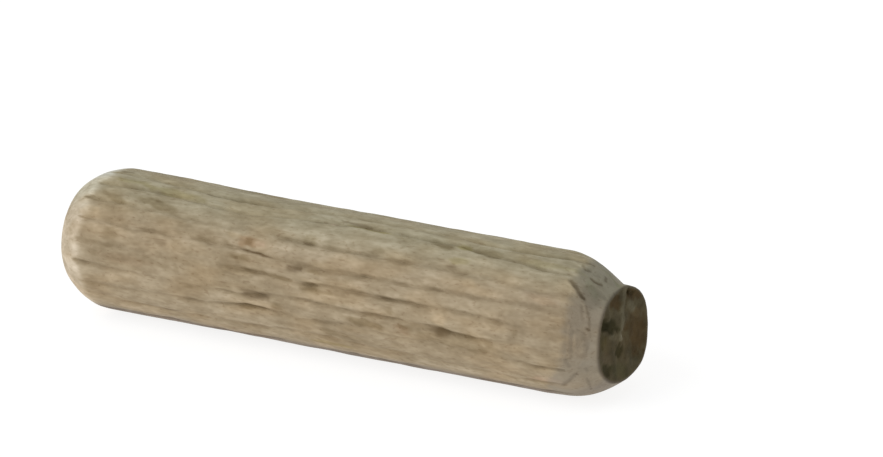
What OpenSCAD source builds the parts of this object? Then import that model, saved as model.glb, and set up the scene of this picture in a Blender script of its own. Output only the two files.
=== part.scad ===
// Fluted dowel pin: a straight hardwood pin that joins two boards with glue.
// It is one piece of wood. Its barrel is pressed with fine straight flutes, which let glue
// and air out of the hole, and both of its ends are crowned, so that they start in the hole.
// The rounded crown is true to the axis. The sawn one is askew: the cutter met the pin off its
// axis, left the face off centre with three flats, and left a steep heel standing in front.
// The pin lies along X, as it comes to rest, on the two lands beside its lowest flute.
// The origin is on the pin's axis at half its length, and +X points to its sawn end.
// Angles round the pin start at its front, -Y, and grow upwards. The sizes of the cuts at the
// sawn end are those on a pin 8 mm across, and they grow and shrink with the pin.

/* [Pin] */
// Diameter over the lands
pin_d = 8; // [6:0.5:12]
// Length over both end faces
pin_l = 35; // [20:1:60]

/* [Flutes] */
// Number of flutes around the barrel
flute_count = 20; // [12:4:24]
// Width of a flute at the surface of the barrel
flute_w = 0.3; // [0.2:0.02:0.4]
// Depth of a flute
flute_depth = 0.24; // [0.12:0.02:0.4]
// Width of the flat root of a flute
flute_root_w = 0.08; // [0.04:0.02:0.14]

/* [Rounded end] */
// Length of the crown along the axis
rounded_crown_l = 2.4; // [2:0.1:3]
// Radius of the shoulder that runs from the barrel into the chamfer
rounded_shoulder_r = 3.2; // [2:0.1:3.2]
// Angle of the chamfer to the axis
rounded_chamfer_angle = 35; // [25:1:38]

/* [Sawn end: shoulder] */
// Length over which the barrel rounds down to the sawn face
sawn_crown_l = 4.2; // [4:0.1:4.6]
// Radius of the arc that the shoulder starts with
sawn_shoulder_r = 3.9; // [2:0.1:3.9]
// Angle to the axis at which the arc ends and the shoulder runs on straight
sawn_shoulder_angle = 7; // [6:1:9]

/* [Sawn end: face] */
// Radius of the round part of the face's outline
face_r = 2.7; // [2.4:0.05:2.75]
// Distance of its centre from the pin's axis
face_shift = 0.28; // [0.1:0.02:0.36]
// Angle round the pin at which that centre lies
face_shift_at = -130; // [-160:5:-90]
// Angle round the pin of the front flat; the low one is a quarter turn below, the back opposite
front_flat_at = 7; // [-20:1:20]
// Distance of the front flat from the axis
front_flat = 2.35; // [2.2:0.05:2.8]
// Distance of the low flat from the axis
low_flat = 2.8; // [2.6:0.05:3]
// Distance of the back flat from the axis
back_flat = 2.6; // [2.4:0.05:3]

/* [Sawn end: nose] */
// Angle to the axis of the nose that widens from the face to the barrel
nose_angle = 36; // [34:1:37]

/* [Sawn end: facet at the back] */
// Angle round the pin that the facet looks towards
facet_at = 132; // [124:2:140]
// Distance from the axis at which the facet's plane meets the plane of the face
facet_start = 2.15; // [2.15:0.05:2.25]
// Angle of the facet to the axis
facet_angle = 28; // [28:1:30]

/* [Sawn end: collar at the back] */
// Angle round the pin at which the straight collar stands out of the facet
collar_at = 140; // [130:5:150]
// Radius of the collar
collar_r = 2.2; // [2.1:0.05:2.25]
// Distance of its centre from the pin's axis
collar_shift = 0.38; // [0.3:0.02:0.4]
// Length of the collar
collar_l = 1.2; // [1:0.1:1.6]

/* [Sawn end: heel in front] */
// Angle round the pin at which the heel stands
heel_at = 14; // [-10:2:30]
// Distance of the heel's steep cone from the pin's axis
heel_shift = 1.3; // [1:0.1:1.4]
// Radius of that cone in the plane of the face
heel_r = 0.85; // [0.8:0.05:1.1]
// Angle of that cone to the axis
heel_angle = 52; // [48:1:54]

/* [Hidden] */
$fn = 96;
pin_r = pin_d / 2;
flute_pitch = 360 / flute_count;
// How far a cutter reaches past the wood that it cuts
clearance = 0.5;
// Radius of the pin that the sizes of the cuts at the sawn end are given for
cut_pin_r = 4;
// Depth that the cuts reach: the facet, the longest of them, has left the barrel by then
cut_l = (cut_pin_r - facet_start) / tan(facet_angle) + 1.5;
// Depth at which the nose's front flat comes out to the barrel
heel_l = (cut_pin_r - front_flat) / tan(nose_angle);
// Side of a block that cuts away all that lies outside a plane
cutter_size = 8 * cut_pin_r;

// Radius of the flat face that ends a crown: the shoulder's arc and then the chamfer's
// straight line each take their share off the barrel's radius.
function crown_face_r(crown_l, shoulder_r, angle) =
    pin_r - shoulder_r * (1 - cos(angle)) - (crown_l - shoulder_r * sin(angle)) * tan(angle);

// Half section of one crown, with the axis along Y and the end of the barrel at Y = 0.
// The shoulder's arc leaves the barrel square to the end plane and meets the chamfer at a tangent.
module crown_section(crown_l, shoulder_r, angle) {
    arc_l = shoulder_r * sin(angle);
    arc_end_r = pin_r - shoulder_r * (1 - cos(angle));
    core_r = max(pin_r - shoulder_r, 0);
    if (core_r > 0)
        square([core_r, arc_l]);
    intersection() {
        translate([pin_r - shoulder_r, 0]) circle(r = shoulder_r);
        translate([core_r, 0]) square([pin_r - core_r, arc_l]);
    }
    polygon([
        [0, arc_l],
        [arc_end_r, arc_l],
        [crown_face_r(crown_l, shoulder_r, angle), crown_l],
        [0, crown_l],
    ]);
}

// The pin before it is fluted and sawn, turned about Z with the sawn end up.
module turned_blank() {
    rotate_extrude() {
        translate([0, rounded_crown_l - pin_l / 2])
            square([pin_r, pin_l - rounded_crown_l - sawn_crown_l]);
        translate([0, pin_l / 2 - sawn_crown_l])
            crown_section(sawn_crown_l, sawn_shoulder_r, sawn_shoulder_angle);
        translate([0, rounded_crown_l - pin_l / 2])
            mirror([0, 1])
                crown_section(rounded_crown_l, rounded_shoulder_r, rounded_chamfer_angle);
    }
}

// Turns +X of the blank to an angle round the pin.
module at_angle(angle) {
    rotate([0, 0, -90 - angle])
        children();
}

// Cone of radius r in the plane of the sawn face, which widens at an angle to the axis down to
// the depth l, and runs past that plane at its top.
module hanging_cone(r, l, angle) {
    translate([0, 0, -l])
        cylinder(
            h = l + clearance,
            r1 = r + l * tan(angle),
            r2 = r - clearance * tan(angle)
        );
}

// Block outside a plane that leans out at an angle to the axis, the further down the more.
module outside_plane(start, angle) {
    translate([start, 0, 0])
        rotate([0, -angle, 0])
            translate([0, -cutter_size / 2, -cutter_size / 2])
                cube(cutter_size);
}

// Nose that widens from the outline of the face, a circle off the axis with three flats.
module nose() {
    difference() {
        at_angle(face_shift_at)
            translate([face_shift, 0, 0])
                hanging_cone(face_r, cut_l + clearance, nose_angle);
        at_angle(front_flat_at) outside_plane(front_flat, nose_angle);
        at_angle(front_flat_at - 90) outside_plane(low_flat, nose_angle);
        at_angle(front_flat_at + 180) outside_plane(back_flat, nose_angle);
    }
}

// What the cutter left standing at the sawn end, with the plane of the face at Z = 0.
module left_standing() {
    difference() {
        nose();
        at_angle(facet_at) outside_plane(facet_start, facet_angle);
    }
    at_angle(collar_at)
        translate([collar_shift, 0, -collar_l])
            cylinder(h = collar_l + clearance, r = collar_r);
    at_angle(heel_at)
        translate([heel_shift, 0, 0])
            hanging_cone(heel_r, heel_l, heel_angle);
}

// Ring that the cutter took off the sawn end, round what it left standing.
module sawn_waste() {
    difference() {
        translate([0, 0, -cut_l])
            cylinder(h = cut_l + clearance / 2, r = cut_pin_r + clearance / 2);
        left_standing();
    }
}

// The turned blank with its sawn crown cut.
module sawn_blank() {
    difference() {
        turned_blank();
        translate([0, 0, pin_l / 2])
            scale(pin_r / cut_pin_r)
                sawn_waste();
    }
}

// Section of one flute at +X: straight sides that open outwards from a narrow flat root.
module flute_section() {
    side_slope = (flute_w - flute_root_w) / 2 / flute_depth;
    outer_half_w = flute_w / 2 + clearance * side_slope;
    polygon([
        [pin_r - flute_depth, -flute_root_w / 2],
        [pin_r + clearance, -outer_half_w],
        [pin_r + clearance, outer_half_w],
        [pin_r - flute_depth, flute_root_w / 2],
    ]);
}

// All the flutes, which run past both ends, so that they fade out where the crowns get thinner.
module flutes() {
    for (i = [0 : flute_count - 1])
        rotate([0, 0, i * flute_pitch])
            translate([0, 0, -pin_l / 2 - clearance])
                linear_extrude(height = pin_l + 2 * clearance)
                    flute_section();
}

module dowel_pin() {
    color("burlywood")
        rotate([0, 90, 0])
            difference() {
                sawn_blank();
                flutes();
            }
}

dowel_pin();
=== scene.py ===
"""Dresses the fluted dowel pin and sets it in a plain pale studio.

The pin is one piece of beech. Its surface is a grid: one way round the axis, the other way
along the profile, from the middle of the sawn face over the barrel to the middle of the
rounded end's face. Sizes are given in millimetres and angles in degrees, and the mesh is in
metres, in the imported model's own frame: X runs along the pin towards its sawn end, and Z is
up. Angles round the pin start at -Y, its front, and grow upwards.
"""

from __future__ import annotations

import logging
import math
from dataclasses import dataclass
from enum import Enum

import bpy
import numpy as np
from mathutils import Matrix, Vector


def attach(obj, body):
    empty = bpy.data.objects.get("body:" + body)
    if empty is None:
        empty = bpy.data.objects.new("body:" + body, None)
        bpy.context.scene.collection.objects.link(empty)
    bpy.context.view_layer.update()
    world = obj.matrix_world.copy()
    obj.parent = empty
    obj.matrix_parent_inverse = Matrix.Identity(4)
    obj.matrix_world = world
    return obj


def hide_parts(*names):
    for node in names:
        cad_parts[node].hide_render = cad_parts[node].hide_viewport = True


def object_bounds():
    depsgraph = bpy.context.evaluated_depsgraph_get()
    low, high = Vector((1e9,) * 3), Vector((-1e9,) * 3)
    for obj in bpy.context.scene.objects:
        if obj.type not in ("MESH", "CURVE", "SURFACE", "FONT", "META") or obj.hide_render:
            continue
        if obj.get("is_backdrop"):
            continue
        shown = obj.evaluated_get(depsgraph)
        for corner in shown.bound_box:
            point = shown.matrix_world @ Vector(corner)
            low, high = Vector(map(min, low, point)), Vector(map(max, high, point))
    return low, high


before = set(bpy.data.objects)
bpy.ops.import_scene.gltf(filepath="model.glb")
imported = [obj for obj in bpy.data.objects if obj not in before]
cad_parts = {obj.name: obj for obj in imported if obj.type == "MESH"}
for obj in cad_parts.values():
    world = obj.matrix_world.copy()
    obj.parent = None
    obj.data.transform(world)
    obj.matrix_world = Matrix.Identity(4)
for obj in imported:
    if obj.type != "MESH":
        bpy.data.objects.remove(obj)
CAD_LOW, CAD_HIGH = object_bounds()

MM = 0.001
NODE = "dowel_pin"
BODY = "root"
TINT_LAYER = "tint"

log = logging.getLogger("dowel_pin")

Array = np.ndarray
Color = tuple[float, float, float]
# Two values between which something changes
Span = tuple[float, float]
Socket = bpy.types.NodeSocket

# Angles round the pin of its front and its bottom
FRONT = 0.0
BOTTOM = -90.0
# Millimetres for each degree round the sawn crown, at its middle radius
CROWN_ARC = math.radians(1.0) * 3.3
# Length of the noise's lattice, and how far before the pin's middle it starts
LATTICE_LENGTH = 60.0
LATTICE_START = 25.0
# Distances at which a fleck starts and is whole, in half sizes, and how much noise is added
FLECK_EDGE = (1.25, 0.65)
FLECK_RAGGEDNESS = 0.4
# The same for a crack, in half widths
CRACK_EDGE = (1.3, 0.3)
CRACK_RAGGEDNESS = 0.25


def smooth_step(low: float, high: float, value: Array) -> Array:
    """Rises from 0 to 1 between low and high, flat at both ends: t squared times (3 - 2 t).

    Args:
        low: Value at which the step starts.
        high: Value at which it ends, which may be below low for a falling step.
        value: Where to work it out.

    Returns:
        The step's height at each value.
    """
    t = np.clip((value - low) / (high - low), 0.0, 1.0)
    return t * t * (3.0 - 2.0 * t)


def soft_min(a: Array, b: Array, width: Array | float) -> Array:
    """The lower of two heights, with their crossing rounded.

    It is the plain minimum less h squared over 4 widths, where h is the width less the
    distance between the heights, and at least 0.

    Args:
        a: First height.
        b: Second height.
        width: Distance between the heights at which the rounding starts.

    Returns:
        The rounded minimum.
    """
    h = np.maximum(width - np.abs(a - b), 0.0)
    return np.minimum(a, b) - h * h / (4.0 * width)


def bell(value: Array, width: float) -> Array:
    """A smooth hump, 1 at 0: e to the power of minus (value over width) squared."""
    return np.exp(-((value / width) ** 2))


def turn_between(a: Array, b: Array | float) -> Array:
    """Angle from b to a in degrees, the short way round, from -180 to 180."""
    return (a - b + 180.0) % 360.0 - 180.0


def facing(angle: Array, middle: float, low: float, high: float) -> Array:
    """How far a side faces a middle angle: a step from low to high on the turn's cosine."""
    return smooth_step(low, high, np.cos(np.radians(turn_between(angle, middle))))


def beside(angle: Array, middle: float, full: float, end: float) -> Array:
    """1 as far as full degrees from a middle angle, falling to 0 at end degrees from it."""
    return smooth_step(end, full, np.abs(turn_between(angle, middle)))


def between(angle: Array, start: float, full: float, fade: float, end: float) -> Array:
    """1 from the angle full to the angle fade, falling to 0 at start and at end."""
    return smooth_step(start, full, angle) * smooth_step(end, fade, angle)


def stations(places: tuple[float, ...], values: Array, at: Array, row: Array) -> Array:
    """A smooth curve through values at evenly spaced places (Catmull-Rom).

    Between two places it is the cubic that passes through both, with the slope at each taken
    from its two neighbours. Past the ends it keeps the end value.

    Args:
        places: Evenly spaced places.
        values: Rows of values, one value for each place.
        at: Where to work the curve out.
        row: Which row of values each point reads.

    Returns:
        The curve's value at each point.
    """
    last = values.shape[1] - 1
    t = np.clip((at - places[0]) / (places[1] - places[0]), 0.0, last - 1e-9)
    i = t.astype(int)
    f = t - i
    p0, p1 = values[row, np.maximum(i - 1, 0)], values[row, i]
    p2, p3 = values[row, i + 1], values[row, np.minimum(i + 2, last)]
    return 0.5 * (
        2 * p1 + (p2 - p0) * f
        + (2 * p0 - 5 * p1 + 4 * p2 - p3) * f**2
        + (3 * p1 - p0 - 3 * p2 + p3) * f**3
    )


def noise(along: Array, around: Array, cell: tuple[float, float], seed: int) -> Array:
    """Smooth noise on the barrel, from random values on a lattice that closes round the pin.

    Each point blends the four lattice values about it with smooth steps.

    Args:
        along: Place along the pin in millimetres.
        around: Angle round the pin in degrees.
        cell: Size of a lattice cell in millimetres along the pin, and in degrees round it.
        seed: Seed of the random values.

    Returns:
        Values from -1 to 1.
    """
    cells = (int(LATTICE_LENGTH / cell[0]) + 2, max(round(360 / cell[1]), 1))
    values = np.random.default_rng(seed).uniform(-1.0, 1.0, cells)
    u, v = (along + LATTICE_START) / cell[0], around / 360.0 * cells[1]
    u0, v0 = np.floor(u).astype(int), np.floor(v).astype(int)
    fu, fv = smooth_step(0.0, 1.0, u - u0), smooth_step(0.0, 1.0, v - v0)
    i0, i1 = u0 % cells[0], (u0 + 1) % cells[0]
    j0, j1 = v0 % cells[1], (v0 + 1) % cells[1]
    low = values[i0, j0] * (1 - fu) + values[i1, j0] * fu
    high = values[i0, j1] * (1 - fu) + values[i1, j1] * fu
    return low * (1 - fv) + high * fv


@dataclass(frozen=True)
class Ripple:
    """One layer of noise on the pin.

    Attributes:
        height: Its greatest value.
        cell: Size of its cells in millimetres along the pin, and in degrees round it.
        seed: Seed of its random values.
    """

    height: float
    cell: tuple[float, float]
    seed: int

    def at(self, along: Array, around: Array) -> Array:
        """The layer's value at each point."""
        return self.height * noise(along, around, self.cell, self.seed)


@dataclass(frozen=True)
class RoundTable:
    """A value that changes smoothly round the pin, given at some angles.

    Attributes:
        angles: Angles at which the value is given.
        values: The value at each of them.
        reach: Degrees to both sides over which the value is evened out.
        samples: Number of places in that reach.
    """

    angles: tuple[float, ...]
    values: tuple[float, ...]
    reach: float = 14.0
    samples: int = 13

    def at(self, angle: Array) -> Array:
        """Works the value out at each angle.

        The value at a point is the mean of the table drawn as straight lines, taken over
        the reach to both sides of the point with bell weights, so that it has no corners.

        Args:
            angle: Angles round the pin in degrees.

        Returns:
            The value at each angle.
        """
        spread = np.linspace(-self.reach, self.reach, self.samples)
        weights = bell(spread, self.reach / 2)
        total = sum(
            w * np.interp(angle + s, self.angles, self.values, period=360.0)
            for s, w in zip(spread, weights)
        )
        return total / weights.sum()


class Tone(Enum):
    """Colour of a fleck against the beech round it, as a share of its red, green and blue; some flecks and
    the crown's marks use them for painted shade and highlight.
    """

    DARK = (0.52, 0.47, 0.40)
    BROWN = (0.69, 0.65, 0.55)
    RUST = (0.80, 0.69, 0.60)
    OLIVE = (0.80, 0.78, 0.48)
    GREY = (0.82, 0.86, 0.92)
    PINK = (1.13, 1.04, 1.08)
    PALE = (1.30, 1.26, 1.20)
    SOOT = (0.46, 0.48, 0.36)
    UMBER = (0.78, 0.64, 0.50)
    ASH = (1.60, 1.72, 1.90)
    MOSS = (0.86, 0.93, 0.84)
    DUSK = (0.74, 0.73, 0.72)


class Shade(Enum):
    """Colour of a whole stretch of the pin, as a share of the beech's red, green and blue; some of them
    are painted light and shade, as said at each.
    """

    # Painted light: the upper side lighter and cooler, as lit from above.
    UPPER_SIDE_PAINTED_LIGHT = (0.98, 1.10, 1.14)
    # Partly painted shade in the flutes' grooves, partly the pressed wood's darker colour there.
    FLUTE = (0.56, 0.52, 0.43)
    CROWN = (0.80, 0.84, 0.93)
    # Painted shade: the crown's upper back darker, as turned away from the light.
    CROWN_ABOVE_PAINTED_SHADE = (0.84, 0.83, 0.81)
    NOSE = (0.93, 0.95, 0.97)
    # Painted shade: the underside darker where it turns towards the floor.
    UNDERSIDE_PAINTED_SHADE = (0.60, 0.61, 0.74)
    SAWN_EDGE = (0.42, 0.40, 0.38)
    # Partly the paler crushed wood of the rounded end's rim, partly painted light falling on it from the
    # left and behind.
    RIM = (1.48, 1.56, 1.76)
    # Painted light: the rim's upper part lighter and bluer, as lit from above and behind.
    RIM_ABOVE_PAINTED_LIGHT = (1.20, 1.28, 1.50)


def tinted(color: Array, target: Tone | Shade, amount: Array) -> Array:
    """The colours multiplied by a tone or shade, as far as the amount from 0 to 1 says."""
    return color * (1 + amount[..., None] * (np.array(target.value) - 1))


@dataclass(frozen=True)
class Fleck:
    """A patch of another colour, some of them sunk into the wood.

    On the side of the pin its places are millimetres along the pin and degrees round it. On
    the sawn face they are millimetres across it and millimetres up.

    Attributes:
        x: Middle, along the pin or across the face.
        angle: Middle, round the pin or up the face.
        length: Length, along the pin or across the face.
        width: Width, round the pin or up the face.
        tone: Its colour.
        strength: How far the wood takes that colour, from 0 to 1.
        slant: How far it turns round, or leans up, for each millimetre of its length.
        sink: How deep it lies under the surface in millimetres, or how far it stands out when
            negative.
    """

    x: float
    angle: float
    length: float
    width: float
    tone: Tone
    strength: float
    slant: float = 0.0
    sink: float = 0.0

    def mask(self, x: Array, angle: Array, ragged: Array) -> Array:
        """How much of the fleck is at each point, from 0 to 1.

        It is a falling step on the distance from the middle, measured in half lengths and
        half widths, with noise added to that distance so that the edge is ragged.

        Args:
            x: Places along the pin, or across the face.
            angle: Places round the pin, or up the face.
            ragged: Noise from -1 to 1 at each point.

        Returns:
            The fleck's share at each point.
        """
        along = (x - self.x) / (self.length / 2)
        across = turn_between(angle, self.angle + self.slant * (x - self.x)) / (self.width / 2)
        reach = np.sqrt(along**2 + across**2)
        return smooth_step(*FLECK_EDGE, reach + FLECK_RAGGEDNESS * ragged)


@dataclass(frozen=True)
class Crack:
    """A narrow dark or light mark drawn through some points, on the crown or on the face.

    Attributes:
        points: Places of its corners, as a fleck's.
        width: Its half width in millimetres.
        tone: Its colour.
        strength: How far the wood takes that colour, from 0 to 1.
        sink: How deep it is cut in millimetres, or how far it stands out when negative.
    """

    points: tuple[tuple[float, float], ...]
    width: float
    tone: Tone
    strength: float
    sink: float

    def mask(self, x: Array, angle: Array, ragged: Array, arc: float = 1.0) -> Array:
        """How much of the mark is at each point, from 0 to 1.

        It is a falling step on the distance to the nearest of the straight lines between the
        points, with some noise added to that distance.

        Args:
            x: Places along the pin, or across the face.
            angle: Places round the pin, or up the face.
            ragged: Noise from -1 to 1 at each point.
            arc: Millimetres for each unit of the second place.

        Returns:
            The mark's share at each point.
        """
        nearest = np.full(x.shape, np.inf)
        for (x0, a0), (x1, a1) in zip(self.points, self.points[1:]):
            along, across = x1 - x0, (a1 - a0) * arc
            dx, da = x - x0, turn_between(angle, a0) * arc
            t = np.clip((dx * along + da * across) / (along**2 + across**2), 0.0, 1.0)
            nearest = np.minimum(nearest, np.hypot(dx - t * along, da - t * across))
        return smooth_step(*CRACK_EDGE, nearest / self.width + CRACK_RAGGEDNESS * ragged)


@dataclass(frozen=True)
class FluteLine:
    """The course of one flute on the side that shows most.

    Attributes:
        number: Which flute, counted upwards from the front.
        turn: Degrees that it lies off its even place, at each of the courses' stations.
        depth: Its share of the full depth, at each of the stations.
    """

    number: int
    turn: tuple[float, ...]
    depth: tuple[float, ...]


FLECKS = (
    Fleck(-14.2, 59, 1.6, 8, Tone.BROWN, 0.8, -3, 0.03),
    Fleck(-11.4, 60, 2.8, 8, Tone.BROWN, 0.8, -2.5, 0.03),
    Fleck(-10.2, 28, 1.0, 6, Tone.DARK, 0.5, 0, 0.02),
    Fleck(-13.7, 26, 1.1, 16, Tone.BROWN, 0.5, 0, 0.01),
    Fleck(-12.6, 9, 3.0, 8, Tone.RUST, 0.35),
    Fleck(-14.7, 11, 0.7, 5, Tone.BROWN, 0.5),
    Fleck(-9.1, 11, 0.6, 7, Tone.BROWN, 0.5, -8),
    Fleck(-4.9, 41, 1.3, 9, Tone.RUST, 0.9, 0, 0.03),
    Fleck(-4.8, 41, 0.6, 7, Tone.BROWN, 0.7, 0, 0.02),
    Fleck(-3.9, 41.5, 0.8, 6, Tone.PINK, 0.6),
    Fleck(-5.7, 44, 0.7, 6, Tone.PALE, 0.35),
    Fleck(-4.1, 34, 1.9, 2.2, Tone.DARK, 1.0, -1.2, 0.05),
    Fleck(-5.0, 28, 1.5, 5, Tone.BROWN, 0.8, 0, 0.02),
    Fleck(-1.5, 27.5, 1.2, 5, Tone.DARK, 0.8, 0, 0.04),
    Fleck(-0.2, 27.5, 1.5, 4, Tone.BROWN, 0.8, 0, 0.03),
    Fleck(-2.4, 18, 1.9, 3, Tone.BROWN, 0.8, -1.2, 0.03),
    Fleck(-3.9, -1, 2.0, 8, Tone.DARK, 0.65, -1.0, 0.05),
    Fleck(-2.4, -6, 0.9, 7, Tone.BROWN, 0.7, 0, 0.02),
    Fleck(-4.3, -13, 2.2, 3.5, Tone.BROWN, 0.8, 1.0, 0.03),
    Fleck(-10.0, -34.5, 1.4, 3.5, Tone.DARK, 0.6, 1.5, 0.03),
    Fleck(-12.2, -33, 1.6, 3, Tone.BROWN, 0.5, 0.5, 0.02),
    Fleck(-8.6, 83, 1.1, 4, Tone.DARK, 0.8, -1.0, 0.05),
    Fleck(-14.8, 94, 0.9, 4, Tone.DARK, 0.7, 0, 0.03),
    Fleck(1.2, 80.5, 2.8, 3, Tone.DARK, 0.8, -0.4, 0.05),
    Fleck(4.2, 73, 2.0, 10, Tone.BROWN, 0.6, -2.0, 0.03),
    Fleck(6.9, 74, 2.0, 9, Tone.BROWN, 0.75, -1.5, 0.03),
    Fleck(8.2, 75, 1.3, 7, Tone.OLIVE, 0.8),
    Fleck(9.7, 73.5, 1.9, 9, Tone.BROWN, 0.9, -1.5, 0.03),
    Fleck(8.6, 59, 1.5, 6, Tone.OLIVE, 0.45),
    Fleck(8.2, 52.5, 0.9, 4, Tone.DARK, 0.6, 0, 0.03),
    Fleck(8.2, -2.5, 1.8, 7, Tone.DARK, 0.75, -0.5, 0.04),
    Fleck(8.9, -7, 5.4, 15, Tone.BROWN, 0.7, -0.7, 0.03),
    Fleck(5.8, -6.5, 1.2, 8, Tone.RUST, 0.6, 0, 0.02),
    Fleck(3.3, -7, 2.6, 8, Tone.BROWN, 0.85, -1.0, 0.04),
    Fleck(1.5, -24, 3.2, 9, Tone.BROWN, 0.45),
    Fleck(3.4, 54, 0.9, 8, Tone.BROWN, 0.5, 0, 0.02),
    Fleck(-1.1, 54, 0.8, 10, Tone.BROWN, 0.6, 0, 0.02),
    Fleck(5.0, 9.5, 0.5, 7, Tone.BROWN, 0.6, 0, 0.02),
    Fleck(2.1, 26, 0.5, 5, Tone.BROWN, 0.5),
    Fleck(13.1, 8.5, 0.4, 7, Tone.BROWN, 0.5, 0, 0.02),
    Fleck(-0.3, 75, 0.8, 4, Tone.PINK, 0.9),
    Fleck(14.0, -32, 1.2, 4, Tone.PINK, 0.5),
    Fleck(8.2, 8, 1.0, 8, Tone.PALE, 0.35),
    Fleck(9.6, 41, 1.0, 8, Tone.PALE, 0.3),
    Fleck(14.5, 38, 1.6, 5, Tone.PALE, 0.3),
    Fleck(-15.3, 42, 1.6, 12, Tone.PALE, 0.45),
    # Painted shade on the nose, just below the step at the crack.
    Fleck(16.7, 58, 1.0, 26, Tone.DUSK, 0.75),
    Fleck(13.6, 73, 4.0, 7, Tone.OLIVE, 0.3),
    Fleck(14.4, 39, 2.2, 9, Tone.PINK, 0.3),
    Fleck(14.7, -30, 1.6, 7, Tone.PINK, 0.4),
    Fleck(-0.4, 14.5, 1.5, 8, Tone.BROWN, 0.7, 0.0, 0.02),
    Fleck(6.1, -5, 1.0, 10, Tone.BROWN, 0.55),
    Fleck(7.2, 71, 1.6, 8, Tone.BROWN, 0.6, -1.0, 0.02),
    Fleck(2.2, 76, 3.0, 4, Tone.OLIVE, 0.8, -1.0, 0.03),
    Fleck(0.6, -38, 3.4, 5, Tone.OLIVE, 0.5),
    Fleck(-11.0, 76, 3.6, 8, Tone.OLIVE, 0.45, -1.0),
    Fleck(-13.6, 80, 2.4, 6, Tone.OLIVE, 0.45),
    Fleck(-6.5, 18, 6.5, 46, Tone.BROWN, 0.35),
    Fleck(-8.0, 44, 3.6, 18, Tone.BROWN, 0.4),
    Fleck(0.1, 12.5, 2.3, 5, Tone.BROWN, 0.75),
    Fleck(-4.9, 18, 2.6, 6, Tone.PALE, 0.35),
    Fleck(-0.1, 19.5, 1.4, 4, Tone.PALE, 0.3),
    Fleck(0.7, -22, 1.4, 7, Tone.BROWN, 0.45),
    Fleck(-12.2, 9, 4.4, 18, Tone.BROWN, 0.3),
    Fleck(4.0, -32, 9.0, 18, Tone.BROWN, 0.3),
    Fleck(14.6, 20, 4.6, 58, Tone.DUSK, 0.4),
    Fleck(15.2, 73, 2.6, 20, Tone.DUSK, 0.25),
)
# The crown's cracks and creases are cut a little into the wood. The dark ones carry painted shadow in the
# creases and steps, and the pale ones carry painted highlight on the ridges beside them.
CROWN_MARKS = (
    Crack(((15.5, 61.7), (15.7, 60), (16.05, 56), (16.4, 51)), 0.12, Tone.DARK, 0.85, 0.06),
    Crack(((15.3, 60), (15.6, 57.5), (15.9, 54), (16.2, 50)), 0.09, Tone.PALE, 0.25, -0.02),
    Crack(((15.55, 81.5), (15.8, 79.4), (16.0, 81)), 0.10, Tone.DARK, 0.7, 0.05),
    Crack(((15.0, 86.6), (15.6, 88), (15.8, 93)), 0.11, Tone.DARK, 0.6, 0.05),
    Crack(((16.3, 74), (16.5, 73), (16.65, 74), (16.8, 76)), 0.09, Tone.DARK, 0.8, 0.04),
    Crack(((16.8, 84), (16.65, 90)), 0.09, Tone.DARK, 0.7, 0.04),
    Crack(((16.25, 79), (16.5, 82)), 0.08, Tone.DUSK, 0.6, 0.02),
    Crack(((16.2, 102), (16.55, 101), (16.9, 101), (17.3, 96)), 0.22, Tone.MOSS, 0.9, 0.02),
    Crack(((16.35, 68), (16.6, 64), (16.8, 60)), 0.28, Tone.MOSS, 0.5, 0.0),
    Crack(((16.5, 43), (16.6, 38), (16.72, 31)), 0.08, Tone.DARK, 0.35, 0.03),
    Crack(((16.5, 48), (16.75, 41), (16.9, 33)), 0.06, Tone.PALE, 0.15, -0.02),
    Crack(((16.65, 45), (16.8, 40), (16.98, 31), (17.05, 21)), 0.05, Tone.DARK, 0.45, 0.03),
    Crack(((16.95, 22.5), (17.02, 20.5)), 0.08, Tone.DARK, 0.8, 0.05),
    Crack(((16.6, 20), (16.8, 18.5)), 0.06, Tone.DUSK, 0.3, 0.01),
    Crack(((16.85, 17), (16.97, 8), (16.97, 0), (16.85, -8)), 0.12, Tone.DUSK, 0.55, 0.04),
    Crack(((16.28, 22), (16.3, 8), (16.3, -5)), 0.07, Tone.PALE, 0.3, -0.03),
    Crack(((16.4, 22), (16.43, 8), (16.38, -6)), 0.09, Tone.DUSK, 0.35, 0.03),
    Crack(((16.55, 15), (16.55, 0)), 0.07, Tone.PALE, 0.3, -0.03),
    Crack(((16.65, 12), (16.7, 2)), 0.05, Tone.DUSK, 0.2, 0.01),
    Crack(((16.63, -4), (16.67, -6)), 0.08, Tone.DARK, 0.25, 0.01),
    Crack(((16.15, -8), (16.3, -14)), 0.10, Tone.DUSK, 0.6, 0.04),
    Crack(((16.4, -25), (16.0, -30), (15.5, -36)), 0.11, Tone.DUSK, 0.9, 0.06),
    Crack(((16.88, -22), (16.92, -26)), 0.09, Tone.DUSK, 0.6, 0.03),
    Crack(((16.8, -34), (16.75, -44), (16.62, -53)), 0.07, Tone.DUSK, 0.6, 0.04),
)
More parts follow.
